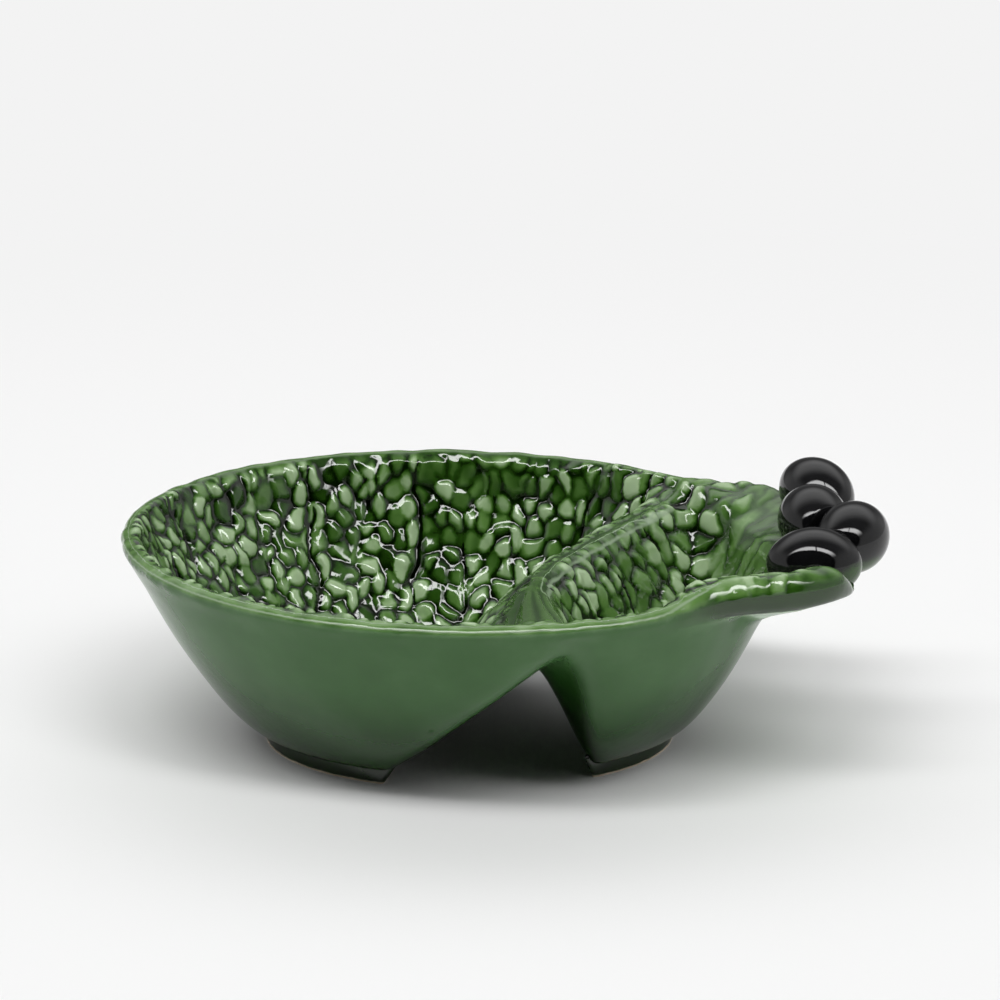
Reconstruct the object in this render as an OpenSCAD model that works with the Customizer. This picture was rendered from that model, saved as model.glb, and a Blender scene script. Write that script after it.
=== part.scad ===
// Olive dish: a glazed pottery leaf with two basins, two foot rings and four model olives.
// +X points to the olives and +Z up. The origin is on the table, under the middle of the outline box.

/* [Overall] */
// Length from the far end of the rim to the outer olive
overall_l = 204; // [202:0.5:206]
// Height of the rim above the table
dish_h = 57; // [54:0.5:60]

/* [Rim] */
// Short axis of the rim oval
rim_w = 150; // [144:1:156]
// Turn of the rim oval, degrees
rim_turn = -12; // [-16:1:-8]
// Radius of the rounded rim edge
rim_r = 2.3; // [2:0.1:2.6]
// How far the rim edge stands out past the wall
rim_lip = 1.2; // [0.8:0.1:1.6]

/* [Wall and floor] */
// Long axis of the base oval
base_l = 111; // [106:1:116]
// Short axis of the base oval
base_w = 80; // [76:1:84]
// Place of the base oval across the dish
base_y = -1.5; // [-3:0.5:0]
// Shift of the base's middle from the rim's, along the dish
base_shift = 3.6; // [2:0.2:5]
// Curve of the wall: 1 is a straight cone, 2 a parabola
wall_curve = 1.6; // [1.45:0.05:1.75]
// Thickness of the wall at the rim, measured level
wall_t = 5; // [4.5:0.1:6]
// Thickness of the floor
floor_t = 5; // [4.5:0.1:6]
// How far the inside floor ends short of the base oval
floor_inset = 2; // [1:0.1:3]
// Rounding of the inner edge of the rim
inner_edge_r = 1.8; // [1.5:0.1:2.2]

/* [Fold] */
// Distance from the base's end to the fold at the front
fold_setback = 42; // [40.5:0.5:43.5]
// Place across the dish where the fold bends
fold_bend_y = -20; // [-24:1:-16]
// Rounding of the bend
fold_bend_r = 20; // [16:1:24]
// Slant of the fold behind the bend, sideways run over depth
fold_slant = 0.67; // [0.6:0.01:0.72]
// How far the crest dips below the rim in the middle
crest_dip = 4; // [3:0.5:6]
// Slope of the fold on the side of the large basin, rise over run
large_side_slope = 1.23; // [1.15:0.01:1.3]
// Slope of the fold on the side of the small basin, rise over run
small_side_slope = 2.2; // [2:0.05:2.4]
// Rounding of the crest
crest_r = 5; // [4:0.5:6]
// Blend between the fold and the floor
fold_blend = 10; // [8:0.5:12]

/* [Leaf relief] */
// Height of the blisters above the veins
relief_h = 2; // [1.6:0.1:2.4]
// Angle on the rim oval from vein to vein, degrees
vein_step = 12; // [9:3:15]
// Rows of blisters up the wall
wall_rows = 3; // [2:0.5:4]
// Size along the fold of the panels on its sides and on the floor
panel_w = 13; // [11:0.5:15]
// Size across the fold of those panels
panel_l = 11; // [9:0.5:13]
// How much of their height the blisters lose between two rows
row_share = 0.7; // [0.5:0.05:0.9]
// How much of the relief lies below the plain skin
sunk_share = 0.4; // [0.3:0.05:0.5]
// How much of the relief is lost by the olives
shelf_loss_share = 0.6; // [0.4:0.05:0.8]
// Smooth band on each side of the crest
crest_band = 9; // [7:0.5:11]
// Smooth band below the rim
rim_band = 7; // [5:0.5:9]

/* [Hollow under the fold] */
// Depth of clay between the crest and the hollow
crest_t = 20.6; // [19.6:0.2:21.6]
// Shift of the hollow's peak from the crest toward the small basin
hollow_shift = -2; // [-3:0.5:-1]
// Slope of the hollow on the side of the large basin, rise over run
hollow_large_slope = 0.92; // [0.88:0.01:0.96]
// Slope of the hollow on the side of the small basin, rise over run
hollow_small_slope = 2.2; // [2.1:0.05:2.3]
// Rounding of the hollow's peak
hollow_r = 2; // [1:0.5:3]
// Rounding of the hollow's lower edges
hollow_blend = 2; // [1.5:0.5:3]
// Rounding of the mouth's edge on the large basin's wall
edge_blend = 6; // [4:0.5:8]
// Rounding of the mouth's edge on the small basin's wall
mouth_blend = 10; // [8:0.5:12]
// Height over which the mouth's edges grow rounder
mouth_rise = 14; // [12:0.5:16]
// Place across the dish where the hollow starts to widen to its front mouth
mouth_start = -37; // [-39:0.5:-35]
// Softness of the start of the widening
mouth_bend_r = 5; // [4:0.5:6]
// Widening of the hollow toward the small basin, run over run
mouth_splay = 0.66; // [0.6:0.02:0.7]
// Widening of the crest above the mouth, run over run
knuckle_splay = 0.27; // [0.25:0.01:0.32]

/* [Shelf] */
// How far the shelf stands out past the rim oval
shelf_reach = 14.5; // [13.5:0.5:15.5]
// Drop of the shelf below the rim where the olives stand
shelf_drop = 5.6; // [4.6:0.1:6.6]
// Angle on the rim oval where the drop starts, degrees
drop_start = -27; // [-29:1:-25]
// Angle on the rim oval where the drop ends, degrees
drop_end = 44; // [42:1:46]
// Angle over which the drop grows and dies away, degrees
drop_slope = 10; // [8:1:12]
// How far the wall stays in under the shelf
shelf_undercut = 5; // [4:0.5:6]
// Extra reach of the shelf at its front corner
corner_reach = 5; // [4:0.5:6]
// Angle on the rim oval of the front corner, degrees
corner_angle = -11; // [-13:1:-9]
// Angle that the front corner takes to each side, degrees
corner_span = 16; // [14:1:18]
// Radius of the shelf's edge
shelf_r = 3; // [2.6:0.1:3.4]
// Overhang of the outer olive past the shelf
olive_overhang = 10.7; // [9.5:0.1:11.5]
// Angle on the rim oval where the shelf starts, degrees
shelf_start = -37; // [-40:1:-34]
// Angle over which the shelf grows to its full reach, degrees
shelf_rise = 27; // [24:1:30]
// Angle on the rim oval where the shelf ends, degrees
shelf_end = 57; // [54:1:60]
// Angle over which the shelf dies away, degrees
shelf_fall = 22; // [18:1:26]
// Radius of the rolled edge
roll_r = 5.8; // [5.4:0.1:6.2]
// Rise of the rolled edge above the rim
roll_rise = 4.8; // [4:0.1:5.6]
// Angle on the rim oval where the roll starts, degrees
roll_start = -46; // [-50:1:-42]
// Angle over which the roll swells, degrees
roll_swell = 18; // [15:1:21]
// Angle on the rim oval where the roll ends, degrees
roll_end = -4; // [-6:1:-3]
// Angle of the roll's rounded end, degrees
roll_tail = 8; // [6:1:10]

/* [Feet] */
// Height of the foot rings
foot_h = 4; // [3:0.5:5]
// Width of the foot rings
foot_ring_w = 4; // [3.5:0.1:4.5]
// How far the rings keep inside the base oval
foot_inset = 0.6; // [0.4:0.1:1.5]

/* [Olives] */
// Length of an olive
olive_l = 25; // [24.4:0.1:25.6]
// Thickness of an olive
olive_d = 19; // [18.4:0.1:19.4]
// Radius of an olive's end
olive_end_r = 7; // [6.6:0.1:7.4]
// Front olive: distance in from the shelf's end
front_olive_in = 10.8; // [10:0.1:11.5]
// Front olive: place across the dish from the shelf's middle
front_olive_side = -5.9; // [-6.5:0.1:-5.3]
// Front olive: height of its middle above the shelf
front_olive_up = 5; // [4.8:0.1:5.6]
// Inner olive: distance in from the shelf's end
inner_olive_in = 8.4; // [7.6:0.1:9.2]
// Inner olive: place across the dish from the shelf's middle
inner_olive_side = 25; // [24.2:0.1:25.7]
// Inner olive: height of its middle above the shelf
inner_olive_up = 6.6; // [5.8:0.1:7.4]
// Outer olive: place across the dish from the shelf's middle
outer_olive_side = 10.7; // [9.9:0.1:11.5]
// Outer olive: height of its middle above the shelf
outer_olive_up = 6.6; // [6:0.1:7.2]
// Outer olive: turn of its long axis, degrees
outer_olive_turn = 65; // [60:1:75]
// Back olive: distance in from the shelf's end
back_olive_in = 5.6; // [5:0.1:6.2]
// Back olive: place across the dish from the shelf's middle
back_olive_side = 45.4; // [44.7:0.1:46.1]
// Back olive: height of its middle above the shelf
back_olive_up = 7.6; // [7:0.1:8.2]
// Back olive: turn of its long axis, degrees
back_olive_turn = -60; // [-66:1:-54]
// Back olive: lean of its long axis, degrees
back_olive_lean = -10; // [-14:1:-6]

/* [Hidden] */
spokes = 120;
floor_rings = 8;
wall_rings = 9;
inner_rings = 12;
top_rings = 12;
outline_steps = 72;
edge_angles = [-60, -30, 0, 30, 60, 90];
probe_angle = 0.5;
probe_share = 0.01;
panel_end_share = 0.75;
vein_start_share = 1.25;

// The rim takes the length that the shelf and the outer olive leave. The turned oval's long axis follows.
rim_half_x = (overall_l - olive_overhang - shelf_reach) / 2;
rim_x = rim_half_x - overall_l / 2;
rim_l = 2 * sqrt(pow(rim_half_x, 2) - pow(rim_w / 2 * sin(rim_turn), 2)) / cos(rim_turn);

// Places of the base oval, the fold and the shelf.
base_x = rim_x + base_shift;
fold_x = base_x + base_l / 2 - fold_setback;
shelf_x = overall_l / 2 - olive_overhang;
shelf_y = rim_l / 2 * sin(rim_turn);
shelf_z = dish_h - shelf_drop;
floor_z = foot_h + floor_t;

function mix(a, b, share) = a + (b - a) * share;
function step_up(u) = u <= 0 ? 0 : u >= 1 ? 1 : u * u * (3 - 2 * u);
function blend_max(a, b, width) =
    let(h = max(width - abs(a - b), 0)) max(a, b) + h * h / (4 * width);

// Shares of the shelf, its drop, its corner and the roll at an angle of the rim oval.
function shelf_share(t) = step_up((t - shelf_start) / shelf_rise) * step_up((shelf_end - t) / shelf_fall);
function drop_share(t) = step_up((t - drop_start) / drop_slope) * step_up((drop_end - t) / drop_slope);
function corner_share(t) = pow(cos(90 * min(abs(t - corner_angle) / corner_span, 1)), 2);
function roll_share(t) = step_up((t - roll_start) / roll_swell) * step_up((roll_end - t) / roll_tail);

// Rim and base ovals, and the rim's outward direction.
function turned(p, a) = [p.x * cos(a) - p.y * sin(a), p.x * sin(a) + p.y * cos(a)];
function rim_point(t) = [rim_x, 0] + turned([rim_l / 2 * cos(t), rim_w / 2 * sin(t)], rim_turn);
function outward(t) =
    let(v = [cos(t) / rim_l, sin(t) / rim_w]) turned(v / norm(v), rim_turn);
function base_point(t, inset) =
    [base_x, base_y] + [(base_l / 2 - inset) * cos(t), (base_w / 2 - inset) * sin(t)];

// The fold's centre line, its slant, and the height of a ridge that follows it.
function fold_line(y) =
    let(d = y - fold_bend_y) fold_x + fold_slant * (d + norm([d, fold_bend_r])) / 2;
function fold_lean(y) =
    let(d = y - fold_bend_y) fold_slant * (1 + d / norm([d, fold_bend_r])) / 2;
function across(p, shift) = (p.x - fold_line(p.y)) / norm([1, fold_lean(p.y)]) - shift;
function crest_z(y) = dish_h - crest_dip * (1 - pow(2 * y / rim_w, 2));
function ridge(q, top, r, left_slope, right_slope) =
    let(m = (right_slope + left_slope) / 2)
    let(n = (right_slope - left_slope) / 2)
    let(k = sqrt(m * m - n * n))
    let(u = q - n * r / k)
    top + r * k - m * norm([u, r]) - n * u;
function widening(y, splay) = let(d = mouth_start - y) splay * (d + norm([d, mouth_bend_r])) / 2;
function crest_side(p) =
    let(q = across(p, 0)) q <= 0 ? q : max(q - widening(p.y, knuckle_splay), 0);
function fold_top(p) = ridge(crest_side(p), crest_z(p.y), crest_r, large_side_slope, small_side_slope);

// The hollow's two sides are planes that meet at a peak. On the small basin's side it widens to the front.
hollow_mean = (hollow_small_slope + hollow_large_slope) / 2;
hollow_even = sqrt(hollow_small_slope * hollow_large_slope);
peak_shift = hollow_shift + (hollow_small_slope - hollow_large_slope) / 2 * hollow_r / hollow_even;
function peak_z(y) = crest_z(y) - crest_t + hollow_r * hollow_even;
function large_side(p) = peak_z(p.y) + hollow_large_slope * across(p, peak_shift);
function small_side(p) =
    peak_z(p.y) - hollow_small_slope * (across(p, peak_shift) - widening(p.y, mouth_splay));

// Size and height of the rounded edge at an angle of the rim oval.
function top_z(t) = dish_h - shelf_drop * drop_share(t);
function edge_r(t) = mix(mix(rim_r, shelf_r, shelf_share(t)), roll_r, roll_share(t));
function edge_z(t) = mix(top_z(t), dish_h + roll_rise, roll_share(t)) - edge_r(t);
function edge_out(t) = shelf_reach * shelf_share(t) + corner_reach * corner_share(t);
function at_inset(t, inset, z) =
    let(p = rim_point(t) - outward(t) * inset) [p.x, p.y, z];

// Rings of the underside, from the middle out to the edge.
middle = [fold_line(fold_bend_y), fold_bend_y];
function under_z(p, z) =
    let(growth = step_up((z - foot_h) / mouth_rise))
    let(a = blend_max(z, large_side(p), mix(hollow_blend, edge_blend, growth)))
    let(b = blend_max(z, small_side(p), mix(hollow_blend, mouth_blend, growth)))
    let(r = hollow_r * hollow_mean * step_up((min(a, b) - z) / mouth_blend))
    (a + b) / 2 - norm([(a - b) / 2, r]);
function under_floor(t, share) =
    let(p = mix(middle, base_point(t, 0), share)) [p.x, p.y, under_z(p, foot_h)];
function wall_top_z(t) =
    min(edge_z(t) - edge_r(t) * sin(60), top_z(t) - mix(rim_r, 2 * shelf_r, shelf_share(t)));
function under_wall(t, share) =
    let(inset = mix(rim_lip, shelf_undercut, shelf_share(t)))
    let(p = mix(base_point(t, 0), rim_point(t) - outward(t) * inset, share))
    let(z = mix(foot_h, wall_top_z(t), pow(share, wall_curve)))
    [p.x, p.y, under_z(p, z)];
function edge_point(t, a) = at_inset(t, edge_r(t) * (1 - cos(a)) - edge_out(t), edge_z(t) + edge_r(t) * sin(a));

// Rings of the top, from the edge back to the middle.
function behind_edge(t) =
    at_inset(t, edge_r(t) * 1.77 - edge_out(t), max(top_z(t), edge_z(t) + edge_r(t) * sin(40)));
function shelf_outer(t) =
    at_inset(t, edge_r(t) * 2 - edge_out(t), top_z(t) - inner_edge_r / 4 * (1 - shelf_share(t)));
function shelf_inner(t) =
    at_inset(t, wall_t - mix(inner_edge_r / 8, inner_edge_r, shelf_share(t)),
        top_z(t) - inner_edge_r / 2 * (1 - shelf_share(t)));
function inner_edge(t) = at_inset(t, wall_t, top_z(t) - inner_edge_r);
function top_skin(p, z) = blend_max(z, fold_top(p), fold_blend);
function inner_wall(t, share) =
    let(e = inner_edge(t))
    let(p = mix(base_point(t, floor_inset), [e.x, e.y], share))
    [p.x, p.y, top_skin(p, mix(floor_z, e.z, pow(share, wall_curve)))];
function inner_floor(t, share) =
    let(p = mix(middle, base_point(t, floor_inset), share)) [p.x, p.y, top_skin(p, floor_z)];

// The inside by angle and by way: 0 is the middle of the fold, 1 the foot of the wall and 2 the rim's inner edge.
function inside(t, way) = way < 1 ? inner_floor(t, way) : inner_wall(t, way - 1);
function inside_normal(t, way) =
    let(side = inside(t + probe_angle, way) - inside(t - probe_angle, way))
    let(up = inside(t, way + probe_share) - inside(t, way - probe_share))
    let(n = cross(up, side)) n / norm(n);

// The moulded leaf: veins run down the wall at even angles, with staggered rows of blisters between them.
// On the floor and the fold the veins run across the fold instead.
function wave(u) = pow(sin(180 * u), 2);
function blisters(column, row) = wave(column) * mix(1, wave(row + (floor(column) % 2) / 2), row_share);
function relief_at(t, way, p) = mix(
    blisters(p.y / panel_w, across(p, 0) / panel_l),
    blisters(t / vein_step, (way - 1) * wall_rows),
    step_up((way - panel_end_share) / (vein_start_share - panel_end_share)));
function relief_fade(t, p) =
    step_up(abs(crest_side(p)) / crest_band) * step_up(norm(p - inner_edge(t)) / rim_band)
        * (1 - shelf_loss_share * shelf_share(t));
function moulded(t, way) =
    let(p = inside(t, way))
    p + inside_normal(t, way) * relief_h * (relief_at(t, way, p) - sunk_share) * relief_fade(t, p);

function ring_points(t) = concat(
    [for (i = [1 : floor_rings]) under_floor(t, i / floor_rings)],
    [for (i = [1 : wall_rings]) under_wall(t, i / wall_rings)],
    [for (a = edge_angles) edge_point(t, a)],
    [behind_edge(t), shelf_outer(t), shelf_inner(t), inner_edge(t)],
    [for (i = [inner_rings - 1 : -1 : 0]) moulded(t, 1 + i / inner_rings)],
    [for (i = [top_rings - 1 : -1 : 1]) moulded(t, i / top_rings)]);

// Leaf dish: one cast skin of clay, closed from the underside over the rim to the inside.
module leaf_dish() {
    columns = [for (i = [0 : spokes - 1]) ring_points(i * 360 / spokes - 180)];
    rows = len(columns[0]);
    under_middle = [middle.x, middle.y, under_z(middle, foot_h)];
    top_middle = [middle.x, middle.y, top_skin(middle, floor_z)];
    points = concat([under_middle], [for (c = columns) each c], [top_middle]);
    last = len(points) - 1;
    function spot(i, r) = 1 + (i % spokes) * rows + r;
    under_fan = [for (i = [0 : spokes - 1]) [0, spot(i, 0), spot(i + 1, 0)]];
    top_fan = [for (i = [0 : spokes - 1]) [spot(i, rows - 1), last, spot(i + 1, rows - 1)]];
    // Each four-cornered patch is split along its lower diagonal, which follows the creases of the fold.
    function patch(a, b, c, d) =
        points[a].z + points[c].z < points[b].z + points[d].z
        ? [[a, b, c], [a, c, d]]
        : [[a, b, d], [b, c, d]];
    skin = [for (i = [0 : spokes - 1]) for (r = [0 : rows - 2])
        each patch(spot(i, r), spot(i, r + 1), spot(i + 1, r + 1), spot(i + 1, r))];
    color("darkgreen")
    polyhedron(points, concat(under_fan, skin, top_fan), convexity = 8);
}

// Foot rings: the base oval cut along the fold's hollow, on the side of the large or the small basin.
function hollow_run(slope, y) = (peak_z(y) - foot_h + hollow_blend) / slope;
function foot_line(side, slope, y, inset) =
    let(splay = side > 0 ? widening(y, mouth_splay) : 0)
    fold_line(y) + (peak_shift + side * (hollow_run(slope, y) + splay + inset)) * norm([1, fold_lean(y)]);
module foot_area(side, slope, inset) {
    far = overall_l;
    depth = base_w;
    intersection() {
        polygon([for (i = [0 : outline_steps - 1]) base_point(i * 360 / outline_steps, foot_inset + inset)]);
        polygon(concat(
            [for (i = [0 : outline_steps])
                let(y = depth * (i / outline_steps - 0.5)) [foot_line(side, slope, y, inset), y]],
            [[side * far, depth / 2], [side * far, -depth / 2]]));
    }
}
module foot_ring(side, slope) {
    linear_extrude(height = foot_h)
    difference() {
        foot_area(side, slope, 0);
        foot_area(side, slope, foot_ring_w);
    }
}
module large_foot_ring() {
    color("olivedrab") foot_ring(-1, hollow_large_slope);
}
module small_foot_ring() {
    color("olivedrab") foot_ring(1, hollow_small_slope);
}

// Olive: an oval of two end arcs and a side arc, turned about its long axis.
olive_side_r = (pow(olive_l / 2 - olive_end_r, 2) + pow(olive_d / 2, 2) - pow(olive_end_r, 2))
    / (olive_d - 2 * olive_end_r);
olive_end_y = olive_l / 2 - olive_end_r;
olive_side_y = olive_end_y * olive_side_r / (olive_side_r - olive_end_r);
module olive_profile() {
    intersection() {
        translate([0, -olive_l / 2]) square([olive_d, olive_l]);
        union() {
            intersection() {
                translate([olive_d / 2 - olive_side_r, 0]) circle(r = olive_side_r, $fn = 96);
                translate([0, -olive_side_y]) square([olive_d, 2 * olive_side_y]);
            }
            for (side = [-1, 1])
                translate([0, side * olive_end_y]) circle(r = olive_end_r, $fn = 64);
        }
    }
}
module olive_body(place, yaw, tilt) {
    translate(place) rotate([0, 90 - tilt, yaw]) rotate_extrude($fn = 64) olive_profile();
}

// Places of the olives, measured from the end, the middle and the top of the shelf.
front_place = [shelf_x - front_olive_in, shelf_y + front_olive_side, shelf_z + front_olive_up];
inner_place = [shelf_x - inner_olive_in, shelf_y + inner_olive_side, shelf_z + inner_olive_up];
outer_half_x = olive_side_r - (olive_side_r - olive_d / 2) * sin(outer_olive_turn);
outer_place = [overall_l / 2 - outer_half_x, shelf_y + outer_olive_side, shelf_z + outer_olive_up];
back_place = [shelf_x - back_olive_in, shelf_y + back_olive_side, shelf_z + back_olive_up];

// A block that takes away all that lies past the middle between two olives, and one for the shelf below.
module past_middle(from, to) {
    d = to - from;
    translate((from + to) / 2)
    rotate([0, -atan2(d.z, norm([d.x, d.y])), atan2(d.y, d.x)])
    translate([0, -olive_l, -olive_l]) cube([olive_l, 2 * olive_l, 2 * olive_l]);
}
module shelf_block(length) {
    translate([shelf_x - overall_l / 2, -rim_w / 2, shelf_z - olive_l])
    cube([overall_l / 2 + length, rim_w, olive_l]);
}

module olive_front() {
    color("dimgray")
    difference() {
        olive_body(front_place, 0, 0);
        shelf_block(olive_l);
        past_middle(front_place, outer_place);
    }
}
module olive_inner() {
    color("dimgray")
    difference() {
        olive_body(inner_place, 90, 0);
        shelf_block(0);
        past_middle(inner_place, outer_place);
        past_middle(inner_place, back_place);
    }
}
module olive_outer() {
    color("dimgray")
    difference() {
        olive_body(outer_place, outer_olive_turn, 0);
        shelf_block(0);
        past_middle(outer_place, inner_place);
        past_middle(outer_place, front_place);
    }
}
module olive_back() {
    color("dimgray")
    difference() {
        olive_body(back_place, back_olive_turn, back_olive_lean);
        shelf_block(olive_l);
        past_middle(back_place, inner_place);
    }
}

leaf_dish();
large_foot_ring();
small_foot_ring();
olive_front();
olive_inner();
olive_outer();
olive_back();
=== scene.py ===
# Olive dish: a glazed pottery leaf with two basins, two foot rings and four glazed olives.
# Lengths are in millimetres until a mesh, a material or the camera takes them. +X points to the olives.
import math

import bmesh
import bpy
import numpy as np
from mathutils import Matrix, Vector, kdtree, noise


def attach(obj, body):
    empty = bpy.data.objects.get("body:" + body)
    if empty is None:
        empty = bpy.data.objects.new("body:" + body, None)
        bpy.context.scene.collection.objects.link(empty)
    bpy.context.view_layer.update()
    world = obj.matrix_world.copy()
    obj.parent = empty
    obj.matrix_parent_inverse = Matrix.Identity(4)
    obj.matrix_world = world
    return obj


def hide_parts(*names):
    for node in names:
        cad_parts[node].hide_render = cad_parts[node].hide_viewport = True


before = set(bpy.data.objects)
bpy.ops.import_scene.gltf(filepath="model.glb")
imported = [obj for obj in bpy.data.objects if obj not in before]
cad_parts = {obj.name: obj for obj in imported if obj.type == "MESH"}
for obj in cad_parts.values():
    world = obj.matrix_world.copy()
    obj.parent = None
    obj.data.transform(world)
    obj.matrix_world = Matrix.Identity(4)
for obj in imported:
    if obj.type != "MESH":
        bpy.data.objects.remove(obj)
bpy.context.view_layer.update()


# Leaf dish: one slip-cast earthenware leaf, folded up in the middle into two basins and rolled at its end.
# The mould gives its inside the veins and blisters of a savoy leaf, and its outside is smooth.
# It is dipped in a clear green glaze, which pools dark in the veins and runs thin on blisters and rim.
MM = 0.001
RIM_MIDDLE = (-12.6, 0.0)
RIM_HALF = (90.0, 75.0)
RIM_TURN = math.radians(-12.0)
BASE_MIDDLE = (-9.0, -1.5)
BASE_HALF = (53.5, 38.0)
RIM_HEIGHT = 56.7
WALL_THICKNESS = 5.0
FOLD_X = 4.5
FOLD_BEND_Y = -20.0
FOLD_BEND_RADIUS = 20.0
FOLD_SLANT = 0.67
CAST_STEP = 1.25
INSIDE_STEPS = 12
OUTSIDE_STEPS = 36
RIM_STEPS = 4
LOOKS_UP = 0.08
JOIN_REACH = 0.002


def merged_copy(node, name):
    """A copy of a CAD node as a new piece, with the corners of its triangles joined."""
    bpy.ops.object.select_all(action="DESELECT")
    piece = bpy.data.objects.new(name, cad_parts[node].data.copy())
    piece.data.name = name
    piece.data.materials.clear()
    bpy.context.scene.collection.objects.link(piece)
    bpy.context.view_layer.objects.active = piece
    piece.select_set(True)
    bpy.ops.object.mode_set(mode="EDIT")
    bpy.ops.mesh.select_all(action="SELECT")
    bpy.ops.mesh.remove_doubles(threshold=JOIN_REACH * MM)
    bpy.ops.object.mode_set(mode="OBJECT")
    return piece


def apply_modifier(piece, kind, **settings):
    """Adds a modifier to a piece and applies it at once."""
    modifier = piece.modifiers.new(kind.lower(), kind)
    for key, value in settings.items():
        setattr(modifier, key, value)
    bpy.context.view_layer.objects.active = piece
    bpy.ops.object.modifier_apply(modifier=modifier.name)


def rise(values, start, end):
    """0 before start and 1 after end, with a smooth step between."""
    share = np.clip((values - start) / (end - start), 0.0, 1.0)
    return share * share * (3.0 - 2.0 * share)


leaf = merged_copy("leaf_dish", "leaf_dish_cast")
bpy.ops.object.mode_set(mode="EDIT")
bpy.ops.mesh.select_all(action="SELECT")
bpy.ops.mesh.tris_convert_to_quads(face_threshold=math.radians(70.0), shape_threshold=math.radians(70.0))
bpy.ops.object.mode_set(mode="OBJECT")
apply_modifier(leaf, "SUBSURF", levels=2, render_levels=2)
mould = bpy.data.objects.new("leaf_mould", leaf.data.copy())
bpy.context.scene.collection.objects.link(mould)
apply_modifier(leaf, "REMESH", mode="VOXEL", voxel_size=CAST_STEP * MM)
apply_modifier(leaf, "SMOOTH", factor=0.5, iterations=4)

# The faces that look up carry the moulded relief, so they are split once more. All the points are then
# laid back onto the even form that the mesh was cut from.
facing = np.empty(len(leaf.data.polygons) * 3)
leaf.data.polygons.foreach_get("normal", facing)
looks_up = facing.reshape(-1, 3)[:, 2] > LOOKS_UP
leaf.data.vertices.foreach_set("select", np.zeros(len(leaf.data.vertices), dtype=bool))
leaf.data.edges.foreach_set("select", np.zeros(len(leaf.data.edges), dtype=bool))
leaf.data.polygons.foreach_set("select", looks_up)
bpy.context.tool_settings.mesh_select_mode = (False, False, True)
bpy.ops.object.mode_set(mode="EDIT")
bpy.ops.mesh.subdivide(number_cuts=1)
bpy.ops.object.mode_set(mode="OBJECT")
apply_modifier(leaf, "SMOOTH", factor=0.5, iterations=2)
apply_modifier(leaf, "SHRINKWRAP", target=mould, wrap_method="NEAREST_SURFACEPOINT")
bpy.data.meshes.remove(mould.data)

count = len(leaf.data.vertices)
ends = np.empty(len(leaf.data.edges) * 2, dtype=int)
leaf.data.edges.foreach_get("vertices", ends)
ends = ends.reshape(-1, 2)
degree = np.bincount(ends.ravel(), minlength=count)


def neighbour_mean(values):
    """The mean of a value over the neighbours of each point."""
    total = np.bincount(ends[:, 0], values[ends[:, 1]], count)
    total += np.bincount(ends[:, 1], values[ends[:, 0]], count)
    return total / degree


# The skin of the basins and of the outside is evened, and the rim less than they are. A pair of places says
# where a region starts or ends: the smooth step runs from the one to the other.
WELL_INSIDE_SHARES = (0.09, 0.14)
OUTSIDE_BOTTOM_Z = (4.5, 8.0)
RIM_BOTTOM_Z = (44.0, 48.0)
spots = np.empty(count * 3)
leaf.data.vertices.foreach_get("co", spots)
spots = spots.reshape(-1, 3) / MM
out = np.empty(count * 3)
leaf.data.vertex_normals.foreach_get("vector", out)
out = out.reshape(-1, 3)
inside = rise(out[:, 2], 0.1, 0.3) * rise(1.0 - np.hypot((spots[:, 0] - RIM_MIDDLE[0]) / RIM_HALF[0],
                                                         spots[:, 1] / RIM_HALF[1]), *WELL_INSIDE_SHARES)
away = np.hypot(out[:, 0], out[:, 1]) * rise(spots[:, 2], *OUTSIDE_BOTTOM_Z)
away *= 1.0 - rise(spots[:, 2], *RIM_BOTTOM_Z)
away *= 1.0 - rise(out[:, 2], -0.1, 0.1)
for calmed, steps in ((inside, INSIDE_STEPS), (0.9 * away, OUTSIDE_STEPS)):
    for _ in range(steps):
        for axis in range(3):
            spots[:, axis] += 0.6 * calmed * (neighbour_mean(spots[:, axis]) - spots[:, axis])
rim_zone = 0.5 * rise(spots[:, 2], *RIM_BOTTOM_Z)
for _ in range(RIM_STEPS):
    for axis in range(3):
        spots[:, axis] += rim_zone * (neighbour_mean(spots[:, axis]) - spots[:, axis])

# By the olives the hand that rolled the shelf left its back corner higher and its front lip thinner.
CORNER_LIFT = 3.6
CORNER_X = (64.0, 79.0)
CORNER_Y = (16.0, 32.0)
LIP_LIFT = 3.2
LIP_X = (74.0, 90.0)
LIP_END_Y = (-14.0, -4.0)
LIP_TOP_Z = (48.5, 53.0)
back_corner = rise(spots[:, 0], *CORNER_X) * rise(spots[:, 1], *CORNER_Y)
front_lip = rise(spots[:, 0], *LIP_X) * (1.0 - rise(spots[:, 1], *LIP_END_Y))
front_lip *= 1.0 - rise(spots[:, 2], *LIP_TOP_Z)
spots[:, 2] += CORNER_LIFT * back_corner + LIP_LIFT * front_lip
leaf.data.vertices.foreach_set("co", (spots * MM).ravel())
leaf.data.update()
leaf.data.vertex_normals.foreach_get("vector", out.reshape(-1))
x, y, z = spots.T

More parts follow.
